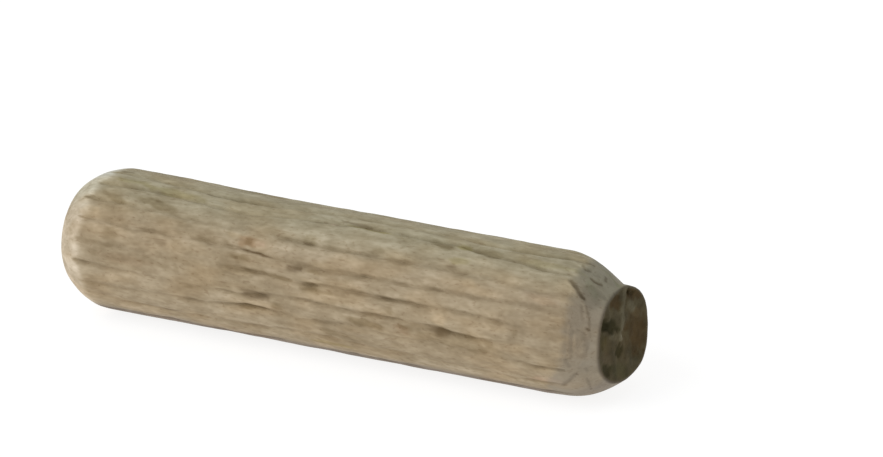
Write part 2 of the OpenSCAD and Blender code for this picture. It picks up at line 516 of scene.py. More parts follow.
FACE_MARKS = (
    Fleck(1.52, -0.45, 2.0, 2.6, Tone.UMBER, 0.9, -0.37, 0.02),
    Fleck(1.30, -1.75, 1.5, 0.9, Tone.SOOT, 0.35, -0.37, 0.02),
    Fleck(1.23, 0.95, 1.3, 0.8, Tone.ASH, 0.55, -0.9, -0.02),
    Fleck(1.41, 1.75, 1.5, 0.7, Tone.UMBER, 0.9, -0.37, 0.04),
    Fleck(1.2, 1.85, 0.8, 0.35, Tone.SOOT, 0.7, -0.37, 0.04),
    Fleck(-0.40, 1.86, 1.1, 0.85, Tone.UMBER, 1.0, -0.37, 0.05),
    Fleck(-0.52, 1.16, 1.3, 0.6, Tone.ASH, 0.12, -0.37),
    Fleck(-1.09, 0.72, 1.9, 0.85, Tone.SOOT, 1.0, -0.37, 0.08),
    Fleck(-1.55, 0.80, 0.7, 0.8, Tone.SOOT, 0.5, -0.37, 0.03),
    Fleck(-0.54, -0.13, 1.3, 0.5, Tone.ASH, 0.35, -0.37, -0.02),
    Fleck(-0.04, -0.37, 0.4, 0.35, Tone.ASH, 0.4, -0.37, -0.03),
    Fleck(-0.35, -0.93, 0.75, 0.85, Tone.SOOT, 0.95, -0.37, 0.06),
    Fleck(-1.89, 0.0, 0.9, 1.0, Tone.OLIVE, 0.5),
    Fleck(-1.56, -0.98, 1.2, 0.7, Tone.PINK, 0.6, -0.37),
    Fleck(-1.73, -1.70, 0.9, 0.9, Tone.SOOT, 0.85, -0.37, 0.05),
    Fleck(-0.41, -2.11, 1.8, 0.9, Tone.MOSS, 0.8, -0.37, 0.02),
    Fleck(1.15, -2.25, 1.2, 0.7, Tone.GREY, 0.8, -0.37),
    # A raised ridge down the face, painted lighter: painted highlight along its crest.
    Crack(((0.55, 2.6), (0.39, 2.0), (0.17, 1.31), (0.16, 0.6), (-0.11, 0.0)), 0.24, Tone.ASH, 0.6, -0.05),
    Crack(((0.80, 2.6), (0.92, 2.0)), 0.10, Tone.SOOT, 0.9, 0.10),
)

LINE_STATIONS = (-16.0, -13.0, -10.0, -7.0, -4.0, -1.0, 2.0, 5.0, 8.0, 11.0, 14.0, 17.0)
FLUTE_LINES = (
    FluteLine(
        -3,
        (1, 1, 0, 0, 1, 2, 2, 1, 0, 0, 1, 1),
        (0.3, 0.4, 0.5, 0.6, 0.5, 0.4, 0.5, 0.6, 0.5, 0.5, 0.6, 0.6),
    ),
    FluteLine(
        -2,
        (8, 4, 1, 2, 4, 7, 5, 5, 2, 1, 1, 3),
        (0.2, 0.2, 0.4, 0.3, 0.5, 0.6, 0.6, 0.7, 0.3, 0.3, 0.4, 0.6),
    ),
    FluteLine(
        -1,
        (0, 0, 1, 3, 6, 4, 6, 4, 4, 4, 0, 0),
        (0.2, 0.25, 0.4, 0.7, 0.8, 0.4, 0.5, 0.5, 0.3, 0.3, 0.7, 0.7),
    ),
    FluteLine(
        0,
        (1, -1, -1, -3, -1, 4, 2, 1, 0, -3, 0, 0),
        (0.9, 0.7, 0.3, 0.4, 0.8, 0.8, 0.6, 0.8, 0.9, 0.7, 0.3, 0.6),
    ),
    FluteLine(
        1,
        (2, 1, 1, 1, 1, -2, 0, -1, -1, -2, -4, -2),
        (0.3, 0.4, 0.3, 0.4, 0.9, 0.8, 0.8, 1.0, 0.9, 0.8, 0.4, 0.5),
    ),
    FluteLine(
        2,
        (1, 0, 0, 0, -1, -5, -5, -5, -4, -4, -4, -3),
        (0.5, 0.6, 0.7, 0.7, 0.9, 0.8, 0.9, 0.9, 0.9, 0.8, 0.4, 0.6),
    ),
    FluteLine(
        3,
        (1, 0, -1, -2, -2, -3, -4, -5, -4, -6, -8, -7),
        (0.5, 0.6, 0.6, 0.4, 0.5, 0.8, 0.9, 0.8, 0.6, 0.6, 0.7, 0.8),
    ),
    FluteLine(
        4,
        (0, 1, -1, -3, -2, 3, 7, 6, 4, -1.5, -4.5, -3),
        (0.4, 0.5, 0.6, 0.5, 0.4, 0.6, 0.9, 0.9, 0.8, 0.6, 0.6, 0.8),
    ),
    FluteLine(
        5,
        (0, -1, -5, -6, -3, -1, 0, -1, -3, -4.6, -1.5, 3),
        (0.3, 0.4, 0.6, 0.9, 0.6, 0.6, 0.5, 0.5, 0.7, 0.8, 0.9, 0.8),
    ),
    FluteLine(
        6,
        (0, 2, 1, 0, -2, -1, 0, 2, 1, 0, -1, 0),
        (0.2, 0.2, 0.3, 0.5, 0.6, 0.7, 0.8, 0.5, 0.5, 0.6, 0.7, 0.6),
    ),
)


@dataclass(frozen=True)
class RoundedCrown:
    """The rounded end: a shoulder's arc that runs at a tangent into a straight chamfer.

    Attributes:
        length: Length of the crown along the pin.
        shoulder: Radius of the shoulder's arc.
        angle: Angle of the chamfer to the axis.
        edge_fall: How far the end face's edge is eased.
        edge_reach: Depth over which that easing dies away.
    """

    length: float = 2.4
    shoulder: float = 3.2
    angle: float = 35.0
    edge_fall: float = 0.10
    edge_reach: float = 0.06

    def radius(self, depth: Array, barrel: float) -> Array:
        """Radius of the crown at a depth below its end face.

        On the arc it is the barrel's radius less (s - sqrt(s^2 - x^2)), with s the shoulder's
        radius and x the distance past the barrel. On the chamfer it falls in a straight line.

        Args:
            depth: Distance from the end face, towards the barrel.
            barrel: Radius of the barrel.

        Returns:
            The radius at each depth, which is the barrel's below the crown.
        """
        arc_length = self.shoulder * math.sin(math.radians(self.angle))
        past = np.clip(self.length - depth, 0.0, self.length)
        arc = np.minimum(past, arc_length)
        drop = self.shoulder - np.sqrt(self.shoulder**2 - arc**2)
        edge = self.edge_fall * np.exp(-np.maximum(depth, 0.0) / self.edge_reach)
        return barrel - drop - (past - arc) * math.tan(math.radians(self.angle)) - edge


@dataclass(frozen=True)
class SawnCrown:
    """The sawn end: a smooth nose round the face, and torn wood between it and the barrel.

    The tool met the pin askew. Above and below, the nose runs up to the barrel. In front it
    stops short at a crease, and a steep torn facet is left between the crease and the barrel.

    Attributes:
        face_radius: Radius of the sawn face.
        nose_radius: Radius at which the nose's cone would meet the face's plane.
        nose_slope: Rise of that cone for each millimetre along the pin.
        land_end: Depth at which the lands lose their pressed colour.
        crease: Depth at which the nose ends.
        shoulder: Distance over which the crown rounds into the barrel.
        collar_slope: Rise of the short collar behind the face for each millimetre.
        collar_blend: Distance over which the collar rounds into the nose.
        step: How far the wood past the crease stands above the nose.
        torn_slope: Rise of the torn facet for each millimetre along the pin.
        torn_middle: Angle round the pin at the middle of the torn facet.
        torn_sides: Degrees from there at which the tears start to fade, and at which they end.
        torn_ends: Depths at which the tears have ended, and at which they are whole.
        crease_width: Half width of the step at the crease.
        torn_width: Half width of the tears' edge there.
        edge_fall: How far the face's edge is eased.
        edge_reach: Depth over which that easing dies away.
        taper: How much the barrel narrows towards the crown.
        taper_ends: Depths at which that narrowing starts and ends.
    """

    face_radius: RoundTable = RoundTable(
        (
            -161, -140, -128, -113, -103, -81, -53, -38, -30, -17, -4,
            9, 36, 50, 67, 85, 102, 120, 141, 160, 180,
        ),
        (
            2.72, 2.97, 3.06, 2.92, 2.82, 2.82, 2.80, 2.83, 2.76, 2.60, 2.43,
            2.35, 2.38, 2.44, 2.43, 2.48, 2.55, 2.55, 2.66, 2.70, 2.64,
        ),
    )
    nose_radius: RoundTable = RoundTable(
        (-150, -120, -81, -53, -30, -17, -4, 9, 36, 67, 85, 100, 115, 130, 145, 160, 180),
        (
            2.70, 2.90, 2.78, 2.80, 2.76, 2.60, 2.43, 2.35, 2.38,
            2.43, 2.38, 2.22, 2.04, 1.86, 1.95, 2.30, 2.58,
        ),
    )
    nose_slope: RoundTable = RoundTable(
        (-150, 50, 67, 80, 90, 100, 115),
        (0.72, 0.72, 0.80, 0.92, 0.88, 0.74, 0.72),
    )
    land_end: RoundTable = RoundTable(
        (-120, -40, -27, -17, -7, 6, 26, 34, 47, 56, 60, 77, 86, 100, 130),
        (3.0, 3.1, 2.5, 1.9, 1.6, 1.35, 1.43, 1.5, 1.45, 1.6, 1.8, 1.9, 1.7, 2.2, 2.6),
        6.0,
    )
    crease: RoundTable = RoundTable(
        (
            -60, -45, -38, -29, -22, -12, -3, 9, 21, 30, 41,
            50, 55, 59, 63, 70, 78, 86, 94, 104, 118,
        ),
        (
            4.00, 3.00, 2.10, 1.30, 1.00, 0.67, 0.52, 0.45, 0.42, 0.48, 0.67,
            1.00, 1.40, 1.80, 2.20, 2.20, 1.70, 1.45, 1.90, 3.00, 4.00,
        ),
        4.0,
    )
    shoulder: RoundTable = RoundTable(
        (-120, -65, -30, 0, 40, 75, 115, 150),
        (0.9, 0.8, 0.6, 0.45, 0.45, 0.8, 1.1, 1.0),
    )
    collar_slope: float = 0.04
    collar_blend: float = 0.12
    step: float = 0.10
    torn_slope: float = 1.15
    torn_middle: float = 14.0
    torn_sides: Span = (55.0, 75.0)
    torn_ends: Span = (1.9, 1.2)
    crease_width: float = 0.05
    torn_width: float = 0.08
    edge_fall: float = 0.06
    edge_reach: float = 0.04
    taper: float = 0.11
    taper_ends: Span = (4.8, 2.0)

    def nose(self, depth: Array, angle: Array) -> Array:
        """Radius of the nose: the greater of a short collar and a cone, rounded between them.

        Args:
            depth: Distance from the sawn face, towards the barrel.
            angle: Angles round the pin in degrees.

        Returns:
            The radius at each point.
        """
        collar = self.face_radius.at(angle) + self.collar_slope * depth
        cone = self.nose_radius.at(angle) + self.nose_slope.at(angle) * depth
        return -soft_min(-collar, -cone, self.collar_blend)

    def past_crease(self, depth: Array, angle: Array, width: float) -> Array:
        """0 on the nose and 1 past the crease, with a step of a width either side of it."""
        return smooth_step(-width, width, depth - self.crease.at(angle))

    def radius(self, depth: Array, angle: Array, barrel: Array | float) -> Array:
        """Radius of the crown.

        Past the crease, the torn facet rises from the nose's radius there plus the step. A
        rounded minimum with the barrel, which tapers a little, makes the shoulder. The face's
        edge is eased by a small fall that dies away within a tenth of a millimetre.

        Args:
            depth: Distance from the sawn face, towards the barrel.
            angle: Angles round the pin in degrees.
            barrel: Radius of the barrel.

        Returns:
            The radius at each point.
        """
        crease = self.crease.at(angle)
        nose = self.nose(depth, angle)
        torn = self.nose(crease, angle) + self.step + self.torn_slope * (depth - crease)
        past = self.past_crease(depth, angle, self.crease_width)
        cone = nose + past * (np.maximum(torn, nose + self.step) - nose)
        eased = cone - self.edge_fall * np.exp(-np.maximum(depth, 0.0) / self.edge_reach)
        limit = barrel - self.taper * smooth_step(*self.taper_ends, depth)
        return soft_min(eased, limit, self.shoulder.at(angle))

    def torn(self, depth: Array, angle: Array) -> Array:
        """How torn the wood is, from 0 to 1: the facet from the crease to where the flutes end.

        Args:
            depth: Distance from the sawn face, towards the barrel.
            angle: Angles round the pin in degrees.

        Returns:
            The tears' share at each point.
        """
        front = beside(angle, self.torn_middle, *self.torn_sides)
        past = self.past_crease(depth, angle, self.torn_width)
        return past * smooth_step(*self.torn_ends, depth) * front


@dataclass(frozen=True)
class TornWood:
    """Rough relief of torn wood, which slants across the crown.

    Attributes:
        slant: Degrees that its fibres turn round for each millimetre of depth.
        coarse: Its main ridges.
        fine: Its finer ridges.
        pits: Noise whose peaks are pulled out as pits.
        pit_ends: Values of that noise between which the pits deepen.
        pit_depth: Depth of those pits.
    """

    slant: float = 9.0
    coarse: Ripple = Ripple(0.05, (0.5, 6.0), 41)
    fine: Ripple = Ripple(0.03, (0.22, 3.0), 42)
    pits: Ripple = Ripple(1.0, (0.7, 4.0), 43)
    pit_ends: Span = (0.2, 0.8)
    pit_depth: float = 0.05

    def at(self, x: Array, angle: Array, depth: Array) -> Array:
        """Rise of the torn wood: both ridges less the pits.

        Args:
            x: Places along the pin.
            angle: Angles round the pin in degrees.
            depth: Distance from the sawn face.

        Returns:
            The rise at each point.
        """
        slanting = angle + self.slant * depth
        ridges = self.coarse.at(x, slanting) + self.fine.at(x, slanting)
        return ridges - self.pit_depth * smooth_step(*self.pit_ends, self.pits.at(x, slanting))


@dataclass(frozen=True)
class PressedRelief:
    """Rise and fall of the pressed wood between the flutes, each layer drawn out along the pin.

    Attributes:
        swell: Long swells.
        waver: Degrees that the crushed wood's lines wander round the pin.
        scales: Crushed ridges that overlap like scales.
        fibres: Fine fibres.
        fine: The finest unevenness.
        dents: Short dents.
    """

    swell: Ripple = Ripple(0.018, (9.0, 36.0), 21)
    waver: Ripple = Ripple(3.0, (2.5, 12.0), 25)
    scales: Ripple = Ripple(0.022, (1.9, 7.0), 22)
    fibres: Ripple = Ripple(0.007, (0.8, 3.2), 23)
    fine: Ripple = Ripple(0.004, (0.42, 2.6), 24)
    dents: Ripple = Ripple(0.015, (0.8, 5.5), 26)

    def at(self, x: Array, angle: Array) -> Array:
        """Rise of the wood: the sum of the layers, some of them wavering.

        Args:
            x: Places along the pin.
            angle: Angles round the pin in degrees.

        Returns:
            The rise at each point.
        """
        wavering = angle + self.waver.at(x, angle)
        crushed = self.scales.at(x, wavering) + self.fibres.at(x, wavering)
        return self.swell.at(x, angle) + crushed + self.fine.at(x, angle) + self.dents.at(x, wavering)


@dataclass(frozen=True)
class FluteCourses:
    """The flutes' wandering courses, with noise that makes them waver and break up.

    Attributes:
        full_depth: Depth of a whole flute.
        half_width: Half width of a flute's narrow bell.
        easing: Distance over which the lands' edges round over.
        narrow_share: Share of the depth that the narrow bell has. The wide fall has the rest.
        hidden_turn: Spread of the turn of the flutes that aren't listed.
        hidden_depth: Least and greatest share of the depth of those flutes.
        far_share: What is left of that share at the rounded end.
        far_ends: Places along the pin between which it comes back.
        depth_limits: Least and greatest share of the depth of any flute.
        bends: Noise that turns the courses.
        breaks: Noise that changes the depth along them.
        width_change: Noise that changes their width.
        seed: Seed of the flutes that aren't listed.
    """

    full_depth: float = 0.24
    half_width: float = 0.13
    easing: float = 0.35
    narrow_share: float = 0.68
    hidden_turn: float = 1.6
    hidden_depth: Span = (0.35, 0.9)
    far_share: float = 0.45
    far_ends: Span = (-16.0, -8.0)
    depth_limits: Span = (0.15, 1.1)
    bends: tuple[Ripple, Ripple] = (Ripple(1.0, (1.7, 18.0), 11), Ripple(0.5, (0.6, 18.0), 12))
    breaks: tuple[Ripple, Ripple] = (Ripple(0.45, (2.3, 18.0), 13), Ripple(0.4, (0.8, 18.0), 15))
    width_change: Ripple = Ripple(0.25, (0.9, 18.0), 14)
    seed: int = 7

    def tables(self, flutes: int) -> tuple[Array, Array]:
        """The courses of every flute: the listed ones, and seeded ones behind.

        Args:
            flutes: Number of flutes round the pin.

        Returns:
            The turn in degrees and the share of the full depth, by flute and station.
        """
        rng = np.random.default_rng(self.seed)
        size = (flutes, len(LINE_STATIONS))
        turn = rng.normal(0.0, self.hidden_turn, size)
        fading = np.interp(LINE_STATIONS, self.far_ends, (self.far_share, 1.0))
        depth = rng.uniform(*self.hidden_depth, size) * fading
        for line in FLUTE_LINES:
            turn[line.number % flutes] = line.turn
            depth[line.number % flutes] = line.depth
        return turn, depth

    def cut(self, x: Array, angle: Array, flutes: int, radius: float) -> tuple[Array, Array]:
        """Depth cut by the flutes, and how deep in a flute each point lies.

        Each flute is a hump in depth: a narrow bell across, and a wider fall that rounds the
        lands' edges over. Its course and its depth follow the stations, and finer noise makes
        it waver and break up. A point takes the flute nearest to it and both its neighbours.

        Args:
            x: Places along the pin.
            angle: Angles round the pin in degrees.
            flutes: Number of flutes round the pin.
            radius: Radius of the barrel.

        Returns:
            The depth in millimetres, and the flute's share from 0 to 1.
        """
        turn, depth = self.tables(flutes)
        pitch = 360.0 / flutes
        arc = math.radians(1.0) * radius
        nearest = np.rint(angle / pitch).astype(int)
        cut, share = np.zeros_like(x), np.zeros_like(x)
        for step in (-1, 0, 1):
            number = (nearest + step) % flutes
            place = number * pitch
            course = place + stations(LINE_STATIONS, turn, x, number)
            course = course + sum(bend.at(x, place) for bend in self.bends)
            full = np.clip(stations(LINE_STATIONS, depth, x, number), *self.depth_limits)
            full = full * (1.0 + sum(part.at(x, place) for part in self.breaks))
            across = turn_between(angle, course) * arc * (1.0 + self.width_change.at(x, place))
            narrow = bell(across, self.half_width)
            wide = np.exp(-np.abs(across) / self.easing)
            shape = self.narrow_share * narrow + (1.0 - self.narrow_share) * wide
            cut += self.full_depth * full * shape
            share = np.maximum(share, narrow * full)
        return cut, share


@dataclass(frozen=True)
class FaceRipple:
    """One layer of noise on the sawn face, borrowed from the noise on the pin's side.

    Attributes:
        ripple: That noise.
        stretch: What millimetres across and up the face are multiplied by, to be its own
            millimetres and degrees.
    """

    ripple: Ripple
    stretch: tuple[float, float]

    def at(self, across: Array, up: Array) -> Array:
        """The layer's value at each point."""
        return self.ripple.at(across * self.stretch[0], up * self.stretch[1])


@dataclass(frozen=True)
class SawnFace:
    """The sawn face: dished a little, dark, and left rough by the saw.

    Attributes:
        dish: Depth of the dish.
        roughness: Height of the roughness and of the streaks.
        darkness: Share of the beech's colour that the face has.
        cast: What that colour leans to, as a share of its red, green and blue.
        uneven: How far the roughness and the streaks change the colour.
        edge_light: How much lighter the face is at its edge.
        grain: How much of the beech's grain shows.
        layers: Noise of the roughness, coarse and fine, and of the streaks.
        ragged: Noise that frays the marks' edges.
        easing: Shares of the radius at which the relief has gone, and at which it is whole.
        edge: Shares of the radius between which the edge gets lighter.
    """

    dish: float = 0.06
    roughness: float = 0.03
    darkness: float = 0.215
    cast: Color = (1.0, 1.04, 0.90)
    uneven: float = 0.15
    edge_light: float = 0.15
    grain: float = 0.3
    layers: tuple[FaceRipple, ...] = (
        FaceRipple(Ripple(1.0, (3.0, 12.0), 51), (5.0, 30.0)),
        FaceRipple(Ripple(0.6, (1.2, 8.0), 52), (5.0, 30.0)),
        FaceRipple(Ripple(1.0, (2.4, 24.0), 53), (6.0, 12.0)),
    )
    ragged: FaceRipple = FaceRipple(Ripple(1.0, (1.5, 8.0), 54), (6.0, 30.0))
    easing: Span = (1.0, 0.88)
    edge: Span = (0.93, 1.0)

    def at(self, radius: Array, angle: Array, outer: Array) -> tuple[Array, Array]:
        """Depth of the sawn face under its plane, and its colour.

        It is the dish plus noise, and streaks that run up and down with the growth rings. All
        of it fades out at the edge.

        Args:
            radius: Distance from the axis.
            angle: Angles round the pin in degrees.
            outer: Radius of the face's edge at those angles.

        Returns:
            The depth in millimetres, and the share of the beech's colour and of its grain.
        """
        a = np.radians(angle)
        across, up = -radius * np.cos(a), radius * np.sin(a)
        relief = sum(layer.at(across, up) for layer in self.layers)
        ragged = self.ragged.at(across, up)
        depth = self.dish + self.roughness * relief
        tone = self.darkness * (1 + self.uneven * relief)
        color = tone[..., None] * np.array(self.cast)
        for mark in FACE_MARKS:
            share = mark.mask(across, up, ragged)
            depth = depth + mark.sink * share
            color = tinted(color, mark.tone, mark.strength * share)
        edge = smooth_step(*self.edge, radius / outer)[..., None]
        color = color * (1 + self.edge_light * edge)
        grain = np.full_like(edge, self.grain)
        inside = smooth_step(*self.easing, radius / outer)
        return np.maximum(depth * inside, 0.0), np.concatenate([color, grain], -1)


@dataclass(frozen=True)
class GrainLayer:
    """One noise in the wood's grain.

    Attributes:
        cell: Size of its cells in millimetres along X, Y and Z.
        detail: Octaves of the noise.
        share: How far it makes the wood lighter and darker.
        rough: How much the finer octaves count.
    """

    cell: tuple[float, float, float]
    detail: float
    share: float = 0.0
    rough: float = 0.5


class Graph:
    """Adds and joins the nodes of one material."""

    def __init__(self, name: str) -> None:
        """Makes the material and keeps its shader and its object coordinates.

        Args:
            name: The material's name.
        """
        self.material = bpy.data.materials.new(name)
        self.material.use_nodes = True
        self.tree = self.material.node_tree
        self.shader = self.tree.nodes["Principled BSDF"]
        self.coords = self.tree.nodes.new("ShaderNodeTexCoord").outputs["Object"]

    def plug(self, socket: Socket, value: object) -> None:
        """Joins a socket to another one, or sets it to a plain value.

        Args:
            socket: An input.
            value: The output that it reads, or its value.
        """
        if isinstance(value, Socket):
            self.tree.links.new(value, socket)
        else:
            socket.default_value = value

    def math(self, operation: str, a: object, b: object) -> Socket:
        """Result of a Math node.

        Args:
            operation: What it does, such as ADD or MULTIPLY.
            a: First value.
            b: Second value.

        Returns:
            The result.
        """
        node = self.tree.nodes.new("ShaderNodeMath")
        node.operation = operation
        self.plug(node.inputs[0], a)
        self.plug(node.inputs[1], b)
        return node.outputs[0]

    def multiply(self, amount: object, a: object, b: object) -> Socket:
        """One colour multiplied by another.

        Args:
            amount: How far it is, from 0 to 1.
            a: First colour.
            b: Second colour.

        Returns:
            The result.
        """
        node = self.tree.nodes.new("ShaderNodeMix")
        node.data_type, node.blend_type = "RGBA", "MULTIPLY"
        self.plug(node.inputs["Factor"], amount)
        self.plug(node.inputs[6], a)
        self.plug(node.inputs[7], b)
        return node.outputs[2]

    def grain(self, layer: GrainLayer, turn: float = 0.0) -> Socket:
        """Noise from 0 to 1 with the cells of a layer.

        Args:
            layer: The layer.
            turn: Degrees that the pattern is turned about the pin's axis.

        Returns:
            The noise.
        """
        turned = self.tree.nodes.new("ShaderNodeMapping")
        turned.vector_type = "POINT"
        turned.inputs["Rotation"].default_value = (math.radians(turn), 0, 0)
        self.plug(turned.inputs["Vector"], self.coords)
        scaled = self.tree.nodes.new("ShaderNodeMapping")
        scaled.inputs["Scale"].default_value = tuple(1 / (s * MM) for s in layer.cell)
        self.plug(scaled.inputs["Vector"], turned.outputs[0])
        node = self.tree.nodes.new("ShaderNodeTexNoise")
        node.inputs["Scale"].default_value = 1.0
        node.inputs["Detail"].default_value = layer.detail
        node.inputs["Roughness"].default_value = layer.rough
        self.plug(node.inputs["Vector"], scaled.outputs[0])
        return node.outputs["Fac"]

    def spread(self, value: object, given: Span, wanted: Span) -> Socket:
        """Result of a Map Range node that is smooth at both ends.

        Args:
            value: What is spread.
            given: Values at which the result reaches its ends.
            wanted: The result's ends.

        Returns:
            The result.
        """
        node = self.tree.nodes.new("ShaderNodeMapRange")
        node.interpolation_type = "SMOOTHSTEP"
        self.plug(node.inputs["Value"], value)
        for name, number in zip(("From Min", "From Max", "To Min", "To Max"), given + wanted):
            node.inputs[name].default_value = number
        return node.outputs[0]

    def bump(self, height: object, distance: float, strength: float) -> Socket:
        """Normal from a Bump node.

        Args:
            height: Height of the surface, from 0 to 1.
            distance: Depth in metres that a height of 1 stands for.
            strength: How far the normal follows it.

        Returns:
            The normal.
        """
        node = self.tree.nodes.new("ShaderNodeBump")
        node.inputs["Distance"].default_value = distance
        node.inputs["Strength"].default_value = strength
        self.plug(node.inputs["Height"], height)
        return node.outputs[0]


@dataclass(frozen=True)
class PressedBeech:
    """Raw beech, pressed and matt: streaked along the grain, with short dark rays.

    Attributes:
        color: Colour of the wood.
        rings: The growth rings, as broad bands.
        ring_turn: Angle round the pin at which the rings lie.
        broad: The broadest change of tone.
        patches: Patches of a millimetre or two.
        strokes: Short strokes.
        crush: Marks of the crushed surface.
        streaks: Thin streaks.
        fibres: Single fibres.
        rays: Noise whose peaks are the dark rays.
        pores: Noise whose peaks are the pores.
        warmth: Noise whose peaks are warmer in colour.
        channel_powers: How strongly red, green and blue follow the tone.
        swing_ends: Values of a layer's noise at which the wood is darkest and palest.
        ring_ends: The same, of the rings' noise, and of the streaks' for the roughness.
        warm_ends: Values of the warmth's noise at which it starts and is strongest.
        warm_share: How strong it gets.
        ray_ends: The same values, of the rays' noise.
        pore_ends: The same values, of the pores' noise.
        warm_tint: Colour that the warm wood is multiplied by.
        ray_tint: Colour that the rays are multiplied by.
        pore_tint: Colour that the pores are multiplied by.
        ray_share: How far the rays take theirs.
        pore_share: How far the pores take theirs.
        roughness: Least and greatest roughness.
        specular: Specular level of the darkest and of the palest wood.
        gloss_ends: Brightness of the tint that counts as darkest and as palest.
        crush_height: The crushed marks' share of the bump. The fibres have the rest.
        bump_depth: Depth of the bump in millimetres.
        bump_strength: Strength of the bump.
    """

    color: Color = (0.359, 0.284, 0.183)
    rings: GrainLayer = GrainLayer((26.0, 1.1, 7.0), 2.0, 0.04)
    ring_turn: float = 25.0
    broad: GrainLayer = GrainLayer((4.6, 1.7, 1.7), 1.0, 0.07)
    patches: GrainLayer = GrainLayer((1.9, 0.80, 0.80), 1.0, 0.10)
    strokes: GrainLayer = GrainLayer((0.9, 0.34, 0.34), 1.0, 0.10)
    crush: GrainLayer = GrainLayer((0.32, 0.17, 0.17), 0.0, 0.05)
    streaks: GrainLayer = GrainLayer((2.4, 0.24, 0.24), 1.0, 0.03)
    fibres: GrainLayer = GrainLayer((0.40, 0.10, 0.10), 0.0, 0.015)
    rays: GrainLayer = GrainLayer((1.3, 0.14, 0.14), 1.0, rough=0.4)
    pores: GrainLayer = GrainLayer((0.30, 0.12, 0.12), 0.0)
    warmth: GrainLayer = GrainLayer((3.2, 1.3, 1.3), 1.0)
    channel_powers: Color = (1.0, 1.12, 1.37)
    swing_ends: Span = (0.25, 0.75)
    ring_ends: Span = (0.3, 0.7)
    warm_ends: Span = (0.40, 0.7)
    warm_share: float = 0.7
    ray_ends: Span = (0.66, 0.76)
    pore_ends: Span = (0.68, 0.78)
    warm_tint: Color = (1.03, 0.97, 0.89)
    ray_tint: Color = (0.62, 0.52, 0.42)
    pore_tint: Color = (0.6, 0.5, 0.4)
    ray_share: float = 0.3
    pore_share: float = 0.35
    roughness: Span = (0.74, 0.88)
    specular: Span = (0.05, 0.35)
    gloss_ends: Span = (0.2, 0.6)
    crush_height: float = 0.7
    bump_depth: float = 0.05
    bump_strength: float = 0.45

    def material(self) -> bpy.types.Material:
        """Builds the material.

        Noises drawn out along the grain are multiplied into one tone. The beech's colour takes
        it on so that dark wood is browner and pale wood greyer, is darkened where rays and
        pores lie, and is multiplied by the mesh's own tint, which holds the marks and also
        painted light and shade. The tint's alpha says how much of the grain shows.

        Returns:
            The new material.
        """
        g = Graph("pressed_beech")
        crush, streaks, fibres = g.grain(self.crush), g.grain(self.streaks), g.grain(self.fibres)
        share = self.rings.share
        rings = g.grain(self.rings, self.ring_turn)
        tone = g.spread(rings, self.ring_ends, (1 - share, 1 + share))
        for layer, value in (
            (self.broad, g.grain(self.broad)),
            (self.patches, g.grain(self.patches)),
            (self.strokes, g.grain(self.strokes)),
            (self.crush, crush),
            (self.streaks, streaks),
            (self.fibres, fibres),
        ):
            swing = g.spread(value, self.swing_ends, (1 - layer.share, 1 + layer.share))
            tone = g.math("MULTIPLY", tone, swing)
        tint = g.tree.nodes.new("ShaderNodeAttribute")
        tint.attribute_name = TINT_LAYER
        shown = g.math("MULTIPLY", g.math("SUBTRACT", tone, 1.0), tint.outputs["Alpha"])
        tone = g.math("ADD", shown, 1.0)
        shades = g.tree.nodes.new("ShaderNodeCombineColor")
        for channel, power in enumerate(self.channel_powers):
            g.plug(shades.inputs[channel], g.math("POWER", tone, power))
        color = g.multiply(1.0, (*self.color, 1.0), shades.outputs[0])
        for layer, ends, most, target in (
            (self.warmth, self.warm_ends, self.warm_share, self.warm_tint),
            (self.rays, self.ray_ends, self.ray_share, self.ray_tint),
            (self.pores, self.pore_ends, self.pore_share, self.pore_tint),
        ):
            amount = g.spread(g.grain(layer), ends, (0.0, most))
            color = g.multiply(amount, color, (*target, 1.0))
        color = g.multiply(1.0, color, tint.outputs["Color"])
        g.plug(g.shader.inputs["Base Color"], color)
        g.plug(g.shader.inputs["Roughness"], g.spread(streaks, self.ring_ends, self.roughness))
        gloss = g.spread(tint.outputs["Fac"], self.gloss_ends, self.specular)
        g.plug(g.shader.inputs["Specular IOR Level"], gloss)
        rough = g.math("MULTIPLY", crush, self.crush_height)
        height = g.math("ADD", rough, g.math("MULTIPLY", fibres, 1.0 - self.crush_height))
        bump = g.bump(height, self.bump_depth * MM, self.bump_strength)
        g.plug(g.shader.inputs["Normal"], bump)
        return g.material


def grid_solid(
    name: str, verts: Array, colors: Array, poles: Array, pole_colors: Array
) -> bpy.types.Object:
    """Closes a grid of rings into a solid's skin, with a pole at each end.

    Args:
        name: Name of the new object.
        verts: Grid points by ring and column, in metres.
        colors: Red, green, blue and alpha of each grid point.
        poles: The two end points.
        pole_colors: Their colours.

    Returns:
        The new object, linked to the scene, with faces outwards.
    """
    rings, columns = verts.shape[:2]
    index = np.arange(rings * columns).reshape(rings, columns)
    right = np.roll(index, -1, axis=1)
    quads = np.stack([index[:-1], right[:-1], right[1:], index[1:]], -1).reshape(-1, 4)
    first, last = rings * columns, rings * columns + 1
    cap_a = np.stack([np.full(columns, first), right[0], index[0]], -1)
    cap_b = np.stack([np.full(columns, last), index[-1], right[-1]], -1)
    points = np.vstack([verts.reshape(-1, 3), poles])
    mesh = bpy.data.meshes.new(name)
    mesh.from_pydata(points.tolist(), [], quads.tolist() + cap_a.tolist() + cap_b.tolist())
    mesh.polygons.foreach_set("use_smooth", np.ones(len(mesh.polygons), dtype=bool))
    rgba = np.vstack([colors.reshape(-1, 4), pole_colors])
    layer = mesh.color_attributes.new(TINT_LAYER, "FLOAT_COLOR", "POINT")
    layer.data.foreach_set("color", rgba.ravel().astype(np.float32))
    mesh.update()
    obj = bpy.data.objects.new(name, mesh)
    bpy.context.scene.collection.objects.link(obj)
    return obj


